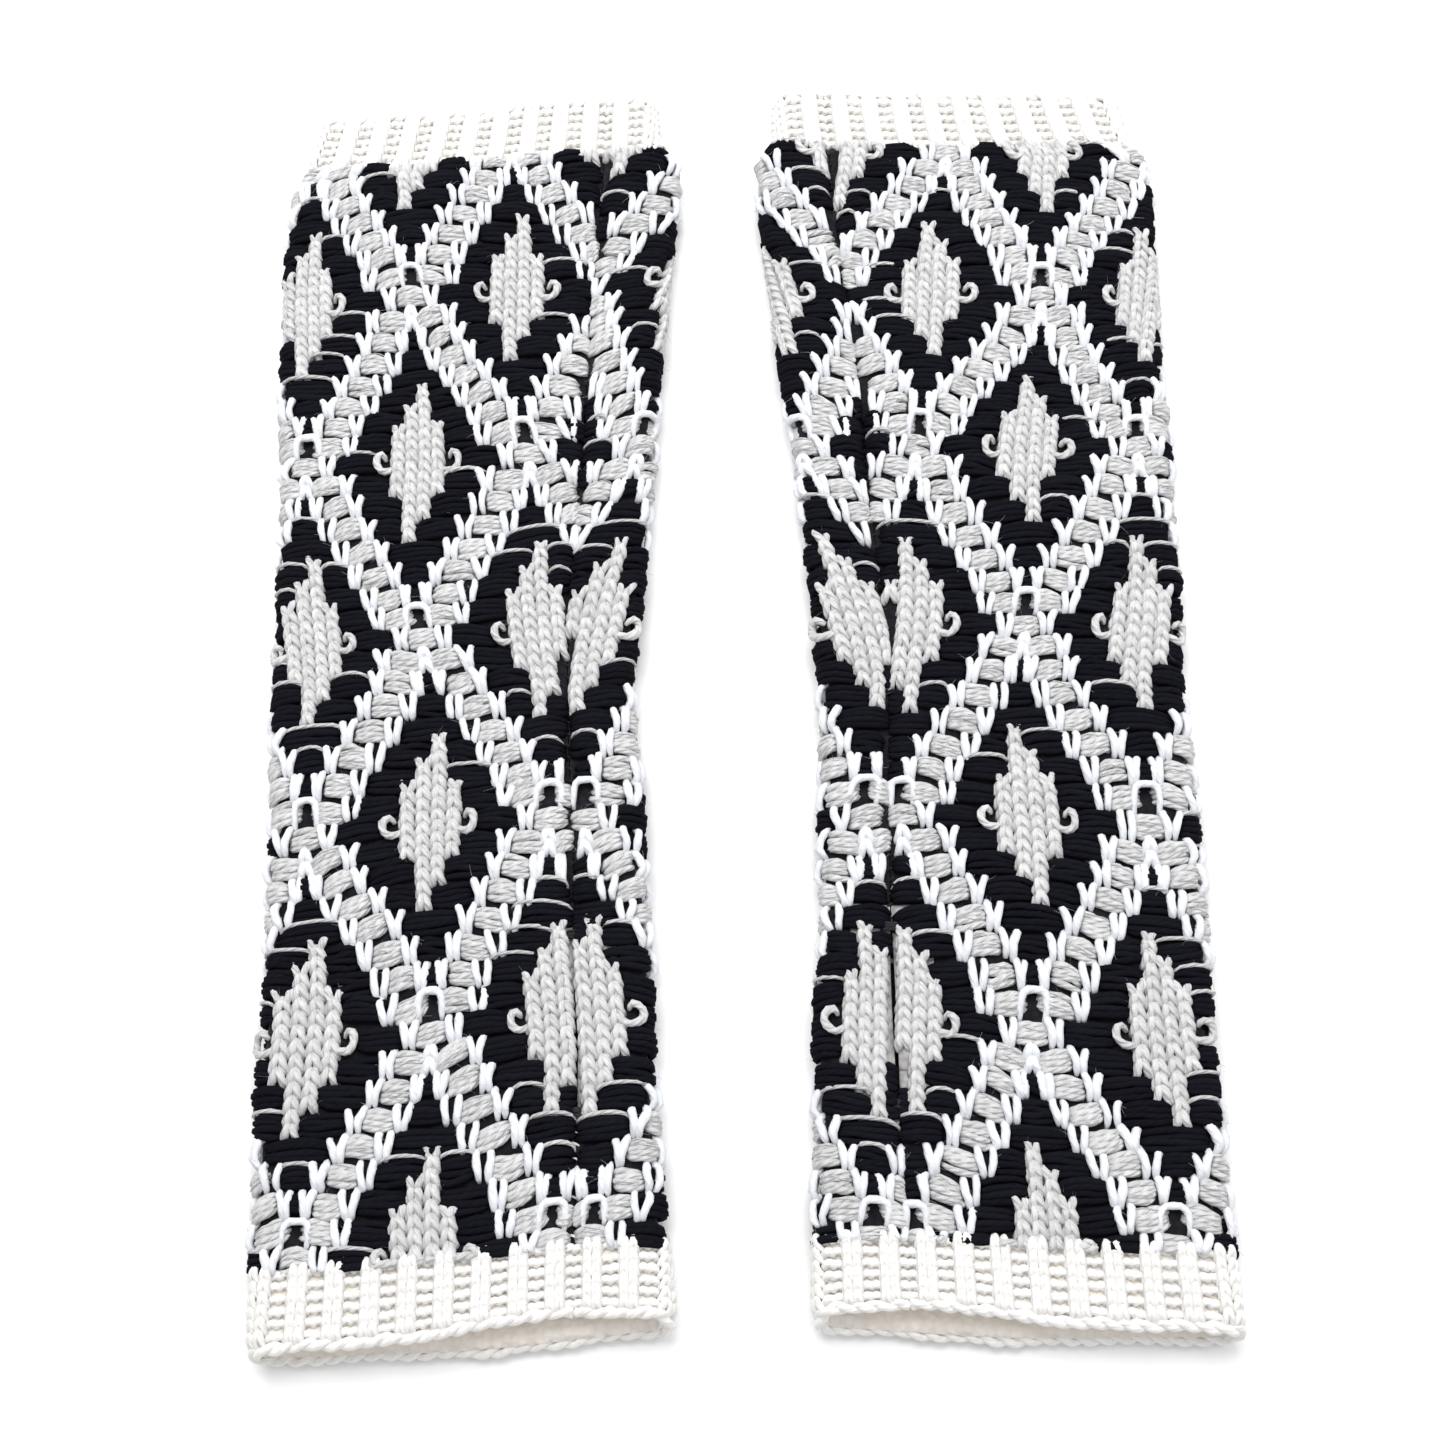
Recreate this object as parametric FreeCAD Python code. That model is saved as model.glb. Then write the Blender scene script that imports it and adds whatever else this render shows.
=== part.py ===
"""A mirrored pair of long fingerless gloves, knitted as flat tubes with a thumb slit.

Units are millimetres and +Z is up.  The pair lies flat on the plane z = 0 with the hand
ends towards -Y and the arm ends towards +Y.  The left glove is at -X.  The origin is in the
middle of the pair's box, on the plane they lie on.

Each glove is a flattened tube: two layers of knitting joined by a rounded fold at each side.
Places along a glove are given as a distance from its hand end, and places across it as a
distance from the mid-plane between the two gloves.
"""
import FreeCAD, Part
import os

from FreeCAD import Vector

os.makedirs("parts", exist_ok=True)

# ---- along the glove, from the hand end to the arm end
hand_edge_length = 2.4      # bound-off edge of the hand cuff
hand_cuff_length = 16.6     # ribbed cuff over the knuckles
hand_length = 104.0         # patterned tube from the hand cuff to the wrist band
wrist_length = 24.0         # the stretch of tube that bends at the wrist
forearm_length = 180.0      # patterned tube over the forearm
arm_cuff_length = 16.6      # ribbed cuff on the forearm
arm_edge_length = 2.4       # cast-on edge of the arm cuff

# ---- across the glove
hand_width = 100.0          # at the hand end
wrist_width = 95.5          # at the narrowest place
arm_width = 114.0           # at the arm end of the patterned tube
arm_cuff_width = 104.0      # where the ribs draw in, at the patterned tube
arm_mouth_width = 100.0     # at the cast-on edge
hand_inner = 15.0           # the side nearest to the other glove, at the hand end
wrist_inner = 23.0          # the same at the narrowest place
arm_inner = 10.0            # the same at the arm end of the patterned tube
arm_cuff_inner = 14.5       # the same on the ribbed arm cuff, at the patterned tube
narrowest_place = 165.0     # how far the narrowest place is from the hand end
draw_in_length = 12.0       # the last stretch before the arm cuff, where the ribs pull it in

# ---- thickness
glove_height = 12.0         # both layers and the space between them
wall = 3.0                  # one layer of patterned knitting
cuff_wall = 3.2             # one layer of ribbed knitting

# ---- the seam and its thumb slit
seam_hand = 38.5            # the seam, from the mid-plane, over the hand and along the slit
seam_narrowest = 42.0       # the same at the narrowest place
seam_arm = 31.0             # the same at the arm end
slit_from_cuff = 33.0       # from the hand cuff to the slit
slit_length = 42.0
slit_gap = 1.4              # between the two lips as they lie
lip_width = 5.6             # the part of the layer that folds back as a lip
seam_groove_width = 1.6
seam_groove_depth = 1.3
seam_thread_height = 1.1
tack_length = 5.0           # stitches across each end of the slit
tack_width = 1.6
tack_height = 0.9
tack_from_slit = 0.6

# ---- clearances
moving_gap = 0.3            # between solids that move apart
thread_gap = 0.1            # beside a thread in its groove

# ---- places along the glove that follow from the lengths
hand_cuff_start = hand_edge_length
hand_start = hand_cuff_start + hand_cuff_length
wrist_start = hand_start + hand_length
forearm_start = wrist_start + wrist_length
arm_cuff_start = forearm_start + forearm_length
arm_edge_start = arm_cuff_start + arm_cuff_length
glove_length = arm_edge_start + arm_edge_length
slit_start = hand_start + slit_from_cuff
slit_end = slit_start + slit_length
widest_place = arm_cuff_start - draw_in_length

# ---- the outline of the patterned tube: place along the glove, inner side, width
TUBE_OUTLINE = [
    (0.0, hand_inner, hand_width),
    (narrowest_place, wrist_inner, wrist_width),
    (widest_place, arm_inner, arm_width),
    (arm_cuff_start, arm_cuff_inner, arm_cuff_width),
]

# ---- the line of the seam: place along the glove, distance from the mid-plane
SEAM_LINE = [
    (0.0, seam_hand),
    (slit_end + tack_from_slit + tack_width, seam_hand),
    (narrowest_place, seam_narrowest),
    (glove_length, seam_arm),
]

SIDES = {"left": -1.0, "right": 1.0}


def ramp(place, first, last, first_value, last_value):
    """A value that changes evenly from first to last."""
    return first_value + (last_value - first_value) * (place - first) / (last - first)


def tube_sides(place):
    """The inner and outer side of the patterned tube at a place along the glove."""
    for (first, *first_size), (last, *last_size) in zip(TUBE_OUTLINE, TUBE_OUTLINE[1:]):
        if place <= last:
            break
    inner_side, width = (ramp(place, first, last, *pair) for pair in zip(first_size, last_size))
    return inner_side, inner_side + width


def arm_cuff_sides(place):
    """The inner and outer side of the ribbed arm cuff, which narrows to its mouth."""
    width = ramp(place, arm_cuff_start, glove_length, arm_cuff_width, arm_mouth_width)
    spare = (arm_cuff_width - width) / 2
    inner_side = arm_cuff_inner + spare
    return inner_side, inner_side + width


def along(place):
    """The Y coordinate of a place along the glove."""
    return place - glove_length / 2


def fold_arcs(side, place, sides, inset):
    """The half circles where the two layers fold over, at the low-X and the high-X side."""
    inner_side, outer_side = sides(place)
    edges = sorted((side * (inner_side + inset), side * (outer_side - inset)))
    radius = glove_height / 2 - inset
    y = along(place)
    middle = glove_height / 2
    arcs = []
    for edge, inwards in ((edges[0], 1.0), (edges[1], -1.0)):
        centre = edge + inwards * radius
        low = Vector(centre, y, middle - radius)
        high = Vector(centre, y, middle + radius)
        arcs.append(Part.Arc(low, Vector(edge, y, middle), high).toShape())
    return arcs


def layer_face(arcs, end):
    """One flat layer, between the arcs' low ends (end 0) or their high ends (end 1)."""
    corners = [low_x.Vertexes[end].Point for low_x, _ in arcs]
    corners += [high_x.Vertexes[end].Point for _, high_x in reversed(arcs)]
    return Part.Face(Part.makePolygon(corners + corners[:1]))


def mouth_face(pair):
    """The flat end between two fold arcs in one plane."""
    low_x, high_x = pair
    lines = [
        Part.makeLine(low_x.Vertexes[end].Point, high_x.Vertexes[end].Point) for end in (0, 1)
    ]
    return Part.Face(Part.Wire(Part.__sortEdges__([low_x, high_x, *lines])))


def flat_solid(side, places, sides, inset):
    """A solid flattened form through the given places, with planar layers."""
    arcs = [fold_arcs(side, place, sides, inset) for place in places]
    faces = [layer_face(arcs, 0), layer_face(arcs, 1), mouth_face(arcs[0]), mouth_face(arcs[-1])]
    for before, after in zip(arcs, arcs[1:]):
        for first, second in zip(before, after):
            faces.append(Part.makeRuledSurface(first, second))
    shell = Part.makeShell(faces)
    shell.sewShape()
    solid = Part.makeSolid(shell)
    if solid.Volume < 0:
        solid.reverse()
    return solid


def flat_tube(side, start, end, sides, thickness):
    """A hollow flattened tube, open at both ends."""
    turns = [place for place, *_ in TUBE_OUTLINE if start < place < end]
    places = [start, *turns, end]
    return flat_solid(side, places, sides, 0.0).cut(flat_solid(side, places, sides, thickness))


def block(side, near, far, start, end, low, high):
    """A block between two distances from the mid-plane and two places along the glove."""
    edges = sorted((side * near, side * far))
    corner = Vector(edges[0], along(start), low)
    return Part.makeBox(edges[1] - edges[0], end - start, high - low, corner)


def seam_at(place):
    """The seam's distance from the mid-plane at a place along the glove."""
    for (first, first_distance), (last, last_distance) in zip(SEAM_LINE, SEAM_LINE[1:]):
        if place <= last:
            break
    return ramp(place, first, last, first_distance, last_distance)


def seam_strip(side, half_width, start, end, low, high):
    """A strip that follows the seam between two places along the glove."""
    places = [start, *(place for place, _ in SEAM_LINE if start < place < end), end]
    near = [Vector(side * (seam_at(p) - half_width), along(p), low) for p in places]
    far = [Vector(side * (seam_at(p) + half_width), along(p), low) for p in reversed(places)]
    outline = Part.makePolygon([*near, *far, near[0]])
    return Part.Face(outline).extrude(Vector(0, 0, high - low))


def seam_groove(side, start, end):
    """The valley in the upper layer where the two edges of the panel meet."""
    low = glove_height - seam_groove_depth
    return seam_strip(side, seam_groove_width / 2, start, end, low, glove_height + 1)


def seam_thread(side, start, end):
    """The sewing thread, lying in the groove."""
    low = glove_height - seam_groove_depth
    half_width = seam_groove_width / 2 - thread_gap
    return seam_strip(side, half_width, start, end, low, low + seam_thread_height)


def thumb_lip(side, outward):
    """One edge of the slit: a strip of the upper layer with a rounded free edge."""
    free = seam_hand + outward * slit_gap / 2
    root = free + outward * lip_width
    y = along(slit_start + moving_gap)
    radius = wall / 2
    high = glove_height
    low = high - wall
    middle = high - radius
    free_x = side * free
    root_x = side * root
    round_x = side * (free + outward * radius)
    top = Part.makeLine(Vector(root_x, y, high), Vector(round_x, y, high))
    rounded = Part.Arc(
        Vector(round_x, y, high), Vector(free_x, y, middle), Vector(round_x, y, low)
    ).toShape()
    bottom = Part.makeLine(Vector(round_x, y, low), Vector(root_x, y, low))
    back = Part.makeLine(Vector(root_x, y, low), Vector(root_x, y, high))
    section = Part.Face(Part.Wire([top, rounded, bottom, back]))
    return section.extrude(Vector(0, slit_length - 2 * moving_gap, 0))


def slit_opening(side):
    """The window in the upper layer that the two lips fill as they lie."""
    half = slit_gap / 2 + lip_width + moving_gap
    low = glove_height - wall - 0.5
    high = glove_height + 1
    return block(side, seam_hand - half, seam_hand + half, slit_start, slit_end, low, high)


def slit_tack(side, place):
    """Stitches across the seam beside one end of the slit, rounded on top."""
    half = tack_length / 2
    start = place - tack_width / 2
    bar = block(
        side, seam_hand - half, seam_hand + half, start, start + tack_width,
        glove_height, glove_height + tack_height,
    )
    top_edges = [edge for edge in bar.Edges if edge.BoundBox.ZMin > glove_height + 0.01]
    return bar.makeFillet(tack_height * 0.6, top_edges)


def tube_with_groove(side, start, end, sides, thickness):
    """A tube whose upper layer is grooved for the seam."""
    return flat_tube(side, start, end, sides, thickness).cut(seam_groove(side, start - 1, end + 1))


def hand_tube(side):
    """The patterned tube over the hand, with the window of the thumb slit."""
    tube = tube_with_groove(side, hand_start, wrist_start, tube_sides, wall)
    return tube.cut(slit_opening(side))


def glove_pieces(side):
    """Every piece of one glove, by name."""
    wrist = (wrist_start + moving_gap, forearm_start - moving_gap)
    tack_offset = tack_from_slit + tack_width / 2
    return {
        "hand_edge": tube_with_groove(side, 0.0, hand_cuff_start, tube_sides, cuff_wall),
        "hand_cuff": tube_with_groove(side, hand_cuff_start, hand_start, tube_sides, cuff_wall),
        "hand_tube": hand_tube(side),
        "wrist_band": tube_with_groove(side, *wrist, tube_sides, wall),
        "forearm_tube": tube_with_groove(side, forearm_start, arm_cuff_start, tube_sides, wall),
        "arm_cuff": tube_with_groove(
            side, arm_cuff_start, arm_edge_start, arm_cuff_sides, cuff_wall
        ),
        "arm_edge": tube_with_groove(side, arm_edge_start, glove_length, arm_cuff_sides, cuff_wall),
        "thumb_lip_inner": thumb_lip(side, -1.0),
        "thumb_lip_outer": thumb_lip(side, 1.0),
        "slit_tack_hand": slit_tack(side, slit_start - tack_offset),
        "slit_tack_wrist": slit_tack(side, slit_end + tack_offset),
        "cuff_seam": seam_thread(side, 0.0, slit_start),
        "hand_seam": seam_thread(side, slit_end, wrist_start),
        "wrist_seam": seam_thread(side, *wrist),
        "forearm_seam": seam_thread(side, forearm_start, glove_length),
    }


for side_name, side_sign in SIDES.items():
    for piece_name, shape in glove_pieces(side_sign).items():
        shape.exportStep(f"parts/{side_name}_{piece_name}.step")
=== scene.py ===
"""Looks of a pair of knitted fingerless gloves, stitch by stitch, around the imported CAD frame.

Lengths are in millimetres inside the helpers and are turned into metres when a mesh is made.
Each glove is one knitted panel, sewn into a tube along a seam on its upper face:
  c    place across the panel, 0 on the line opposite the seam, positive towards the outer side
  v    place along the glove, from the hand end
  off  height above the base of the knitting, outwards
Inside the diamond pattern, x counts wales (columns of stitches) and y counts rows.
"""
from math import cos, pi, radians, sin

import bpy
import numpy as np
from mathutils import Matrix, Vector


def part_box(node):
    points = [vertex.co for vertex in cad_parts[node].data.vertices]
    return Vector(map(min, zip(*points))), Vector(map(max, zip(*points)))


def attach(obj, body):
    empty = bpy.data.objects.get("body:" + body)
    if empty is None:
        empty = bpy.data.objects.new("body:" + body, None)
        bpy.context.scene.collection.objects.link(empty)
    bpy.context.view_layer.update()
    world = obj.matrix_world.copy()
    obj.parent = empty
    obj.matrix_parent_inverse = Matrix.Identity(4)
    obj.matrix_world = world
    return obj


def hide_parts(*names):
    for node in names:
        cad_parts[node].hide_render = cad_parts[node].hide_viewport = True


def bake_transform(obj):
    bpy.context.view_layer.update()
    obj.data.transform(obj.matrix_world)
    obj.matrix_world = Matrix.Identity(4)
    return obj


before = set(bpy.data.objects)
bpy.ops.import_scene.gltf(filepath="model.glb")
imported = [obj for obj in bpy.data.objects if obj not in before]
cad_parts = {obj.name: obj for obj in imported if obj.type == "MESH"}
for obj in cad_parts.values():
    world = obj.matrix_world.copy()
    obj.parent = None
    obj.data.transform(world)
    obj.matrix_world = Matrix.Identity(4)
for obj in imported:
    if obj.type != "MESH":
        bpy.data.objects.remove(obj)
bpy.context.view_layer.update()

MM = 0.001

# ---- knitting
WALE = 3.75  # width of one stitch of the patterned panel
ROW = 3.23  # height of one row
FIRST_DIAMOND = 21.3  # first row of diamonds, from the hand end
REPEAT_WALES = 16  # one repeat of the diamond pattern
REPEAT_ROWS = 32
PANEL_HALF_HAND = 94.5  # half the panel's width in its own wales, hand to wrist
PANEL_HALF_ARM = 120.0  # the same at the arm end, where stitches were added at the seam
WIDENS_FROM = 160.0  # where the panel starts to widen, from the hand end
WIDENS_TO = 325.0
ROW_TILT = 0.05  # rows lie a little nearer to the hand end on the outer side
YARN_DEPTH = 2.7  # base of the knitting, below the glove's outer face
BACK_THICKNESS = 1.3  # the back of the knitting, under the yarns
PLIES = 2  # strands twisted into one yarn
WHITE_RADIUS = 1.04
UNEVEN_PATH, UNEVEN_RADIUS = 0.05, 0.035

# ---- pattern, in wales: a diamond of black float bars around a grey diamond of plain stitches
BLACK_REACH = 6  # half the width of a black diamond; each bar is two rows high
GREY_REACH = 3
HALF_REPEAT = REPEAT_WALES // 2
STRANDS = 4  # strands of yarn in a float bar
TIP_HALF = 0.62  # half the length of the short bar at each tip of a diamond
TIP_STRANDS = 3
GREY_HALF = 0.97  # half the length of a grey bar
SHORT_GREY_HALF = 0.84  # the same next to a crossing
GREY_IN, FOOT_SHIFT, TOP_SHIFT = 0.12, -0.52, 0.38  # bars near a crossing are moved sideways
LOOP_OUT = 1.5  # white loops stand this far from the middle of a grey bar
NEAR_LOOP_OUT = 1.28
NARROW_LOOP = 0.62  # width of the loops that meet at a crossing, against the others
SHORTEST_FLOAT = 0.6
SHORTEST_CROSSED = 1.5  # only longer black bars have a grey strand drawn over them
LOOSE_SHARE, CALM_SHARE = 0.5, 0.06  # share of such bars beside the seam and the side, and elsewhere
NEAR_SEAM, NEAR_SIDE = 14.0, 12.0  # in mm
EDGE_MARGIN = 0.33  # no single stitch stands nearer to the panel's edge
END_MARGIN = 1.2  # stitches may pass the ends of the panel by this much, in mm

# ---- thumb slit and seam
LIP_REACH = 10.0  # the knitting that folds back with a lip
LIP_FADE = 14.0  # over this length each end of the slit stays closed
SLIT_HALF_GAP = 0.55
SEAM_HALF_GAP = 0.15
SEAM_DIP = 1.2  # depth of the groove along the seam
SEAM_DIP_WIDTH = 2.4

# ---- how the tubes lie
MIDDLE = 66.0  # middle of a glove, from the mid-plane between the two
SHOULDER = 2.6  # the tube bulges out just before the arm cuff
SHOULDER_BACK, SHOULDER_REACH = 4.5, 4.0
MOUTH_REACH = 12.0  # how far into the mouths they gape
MOUTH_RISE = (0.8, 52.0, 26.0, 0.3)  # hand mouth, upper layer: most, where, reach, least
ARM_MOUTH_SINK = 0.5
EDGE_REACH = 16.0
UPPER_BACK = (3.4, 40.0, 26.0, 0.6)  # the upper layer's hand edge lies back, in the same order
LOWER_OUT = (1.6, 62.0, 30.0, 0.8)  # the lower layer's hand edge sticks out
FACE_WAVES = ((0.28, 11.0, 23.0), (0.28, -19.0, 14.0), (0.196, 6.1, -9.7))  # height, across, along
DRIFT_ACROSS = ((0.7, 29.0, 13.0), (0.5, 9.0, -21.0))
DRIFT_ALONG = ((0.8, 14.0, 31.0), (0.6, -17.0, 10.0))

# ---- how far the pattern of each glove has crept outwards and along, at places from the hand end
CREEP_PLACES = (20, 85, 150, 220, 290, 330)
CREEP = {
    "left": ((-0.3, 0.7, 0.8, 0.0, -2.7, -3.5), (-1.8, 1.1, 0.8, 2, 2.3, 2.4)),
    "right": ((-3.5, -0.6, -1.2, -1.2, 1.2, 3.0), (-3.3, -2.7, -0.8, 1.7, -3.6, -6)),
}

TUBE_NODES = ("hand_edge", "hand_cuff", "hand_tube", "wrist_band", "forearm_tube", "arm_cuff", "arm_edge")
SEAM_NODES = ("cuff_seam", "hand_seam", "wrist_seam", "forearm_seam")
SIGNS = {"left": -1.0, "right": 1.0}


# ---- meshes
class Pieces:
    """Collects tubes and sheets that become one mesh with one or more materials."""

    def __init__(self):
        self.points, self.tones = [], []
        self.faces = {3: [], 4: []}
        self.uvs = {3: [], 4: []}
        self.slots = {3: [], 4: []}
        self.count = 0

    def add(self, points, tone, faces, uvs, slot=0):
        """points (n, 3) in mm; faces {3 or 4: (m, 3 or 4)}; uvs {3 or 4: (m, 3 or 4, 2)}."""
        self.points.append(points)
        self.tones.append(np.broadcast_to(tone, (len(points),)))
        for size in faces:
            self.faces[size].append(faces[size] + self.count)
            self.uvs[size].append(uvs[size])
            self.slots[size].append(np.full(len(faces[size]), slot))
        self.count += len(points)

    def make(self, name, materials):
        points = np.concatenate(self.points) * MM
        sizes = [size for size in (3, 4) if self.faces[size]]
        faces = [np.concatenate(self.faces[size]) for size in sizes]
        loops = np.concatenate([f.ravel() for f in faces]).astype(np.int32)
        totals = np.concatenate([np.full(len(f), f.shape[1]) for f in faces]).astype(np.int32)
        starts = np.concatenate([[0], np.cumsum(totals)[:-1]]).astype(np.int32)
        mesh = bpy.data.meshes.new(name)
        mesh.vertices.add(len(points))
        mesh.vertices.foreach_set("co", points.ravel().astype(np.float32))
        mesh.loops.add(len(loops))
        mesh.loops.foreach_set("vertex_index", loops)
        mesh.polygons.add(len(totals))
        mesh.polygons.foreach_set("loop_start", starts)
        mesh.polygons.foreach_set("loop_total", totals)
        slots = np.concatenate([np.concatenate(self.slots[size]) for size in sizes])
        mesh.polygons.foreach_set("material_index", slots.astype(np.int32))
        mesh.polygons.foreach_set("use_smooth", np.ones(len(totals), bool))
        mesh.update(calc_edges=True)
        layer = mesh.uv_layers.new(name="yarn")
        uv = np.concatenate([np.concatenate(self.uvs[size]).reshape(-1, 2) for size in sizes])
        layer.data.foreach_set("uv", uv.ravel().astype(np.float32))
        tone = mesh.attributes.new("tone", "FLOAT", "POINT")
        tone.data.foreach_set("value", np.concatenate(self.tones).astype(np.float32))
        for material in materials:
            mesh.materials.append(material)
        piece = bpy.data.objects.new(name, mesh)
        bpy.context.scene.collection.objects.link(piece)
        return piece


def unit(vectors):
    return vectors / np.maximum(np.linalg.norm(vectors, axis=-1, keepdims=True), 1e-9)


def add_tubes(pieces, path, normal, radius, tone, sides=7, ply_depth=0.1, turn=5.0, slot=0):
    """Yarns along path (n, k, 3) with normals (n, k, 3), radius (n, k) and tone (n,)."""
    n, k, _ = path.shape
    along = unit(np.gradient(path, axis=1))
    across = unit(np.cross(along, normal))
    up = unit(np.cross(across, along))
    steps = np.linalg.norm(np.diff(path, axis=1), axis=2)
    length = np.concatenate([np.zeros((n, 1)), np.cumsum(steps, axis=1)], axis=1)
    angle = np.arange(sides) * 2 * pi / sides
    twist = 2 * pi * (length / turn + tone[:, None] * 7)
    lobes = 1 + ply_depth * np.cos(PLIES * angle[None, None] - twist[..., None])
    ring = radius[..., None] * lobes
    points = (
        path[:, :, None]
        + (ring * np.cos(angle))[..., None] * across[:, :, None]
        + (ring * np.sin(angle))[..., None] * up[:, :, None]
    )
    first = path[:, 0] - along[:, 0] * radius[:, :1] * 0.5
    last = path[:, -1] + along[:, -1] * radius[:, -1:] * 0.5
    points = np.concatenate([points.reshape(n, k * sides, 3), first[:, None], last[:, None]], axis=1)
    size = k * sides + 2
    i, j = np.meshgrid(np.arange(k - 1), np.arange(sides), indexing="ij")
    nxt = (j + 1) % sides
    quad = np.stack([i * sides + j, i * sides + nxt, (i + 1) * sides + nxt, (i + 1) * sides + j], -1)
    quad = quad.reshape(-1, 4)
    quad_uv = np.empty((n, len(quad), 4, 2))
    quad_uv[..., [0, 3], 0] = j.reshape(-1, 1) / sides
    quad_uv[..., [1, 2], 0] = (j.reshape(-1, 1) + 1) / sides
    quad_uv[..., [0, 1], 1] = length[:, i.ravel(), None]
    quad_uv[..., [2, 3], 1] = length[:, i.ravel() + 1, None]
    ends = np.arange(sides)
    tri = np.concatenate([
        np.stack([np.full(sides, k * sides), (ends + 1) % sides, ends], -1),
        np.stack([np.full(sides, k * sides + 1), (k - 1) * sides + ends,
                  (k - 1) * sides + (ends + 1) % sides], -1),
    ])
    tri_uv = np.zeros((n, len(tri), 3, 2))
    base = (np.arange(n) * size)[:, None, None]
    pieces.add(
        points.reshape(-1, 3), np.repeat(tone, size),
        {4: (quad[None] + base).reshape(-1, 4), 3: (tri[None] + base).reshape(-1, 3)},
        {4: quad_uv.reshape(-1, 4, 2), 3: tri_uv.reshape(-1, 3, 2)},
        slot,
    )


def add_slab(pieces, outer, inner, slot=0):
    """A closed sheet between two grids of points (rows, columns, 3)."""
    rows, columns, _ = outer.shape
    points = np.concatenate([outer.reshape(-1, 3), inner.reshape(-1, 3)])
    index = np.arange(rows * columns).reshape(rows, columns)
    shift = rows * columns

    def quads(a, b, c, d):
        return np.stack([a, b, c, d], -1).reshape(-1, 4)

    a, b, c, d = index[:-1, :-1], index[:-1, 1:], index[1:, 1:], index[1:, :-1]
    faces = [quads(a, b, c, d), quads(d, c, b, a) + shift]
    for edge in (index[0], index[-1][::-1], index[:, 0][::-1], index[:, -1]):
        faces.append(quads(edge[1:], edge[:-1], edge[:-1] + shift, edge[1:] + shift))
    faces = np.concatenate(faces)
    grid = np.stack(np.meshgrid(np.arange(rows), np.arange(columns), indexing="ij"), -1)
    flat_uv = np.concatenate([grid.reshape(-1, 2), grid.reshape(-1, 2)])
    pieces.add(points, 0.5, {4: faces}, {4: flat_uv[faces].astype(float)}, slot)


# ---- the shape of one glove
def smooth(values, reach):
    """Values, evenly spaced, averaged over a bell of that reach."""
    steps = np.arange(-3 * reach, 3 * reach + 1)
    bell = np.exp(-0.5 * (steps / reach) ** 2)
    padded = np.pad(values, 3 * reach, mode="edge")
    return np.convolve(padded, bell / bell.sum(), mode="valid")


def bump(x, middle, reach):
    return np.exp(-(((x - middle) / reach) ** 2))


def swell(x, most, middle, reach, least):
    return most * bump(x, middle, reach) + least


def waves(table, across, along, phases):
    """Sum of slanting waves, from rows of (height, length across, length along)."""
    return sum(height * np.sin(across / wide + along / long + phase)
               for (height, wide, long), phase in zip(table, phases))


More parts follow.
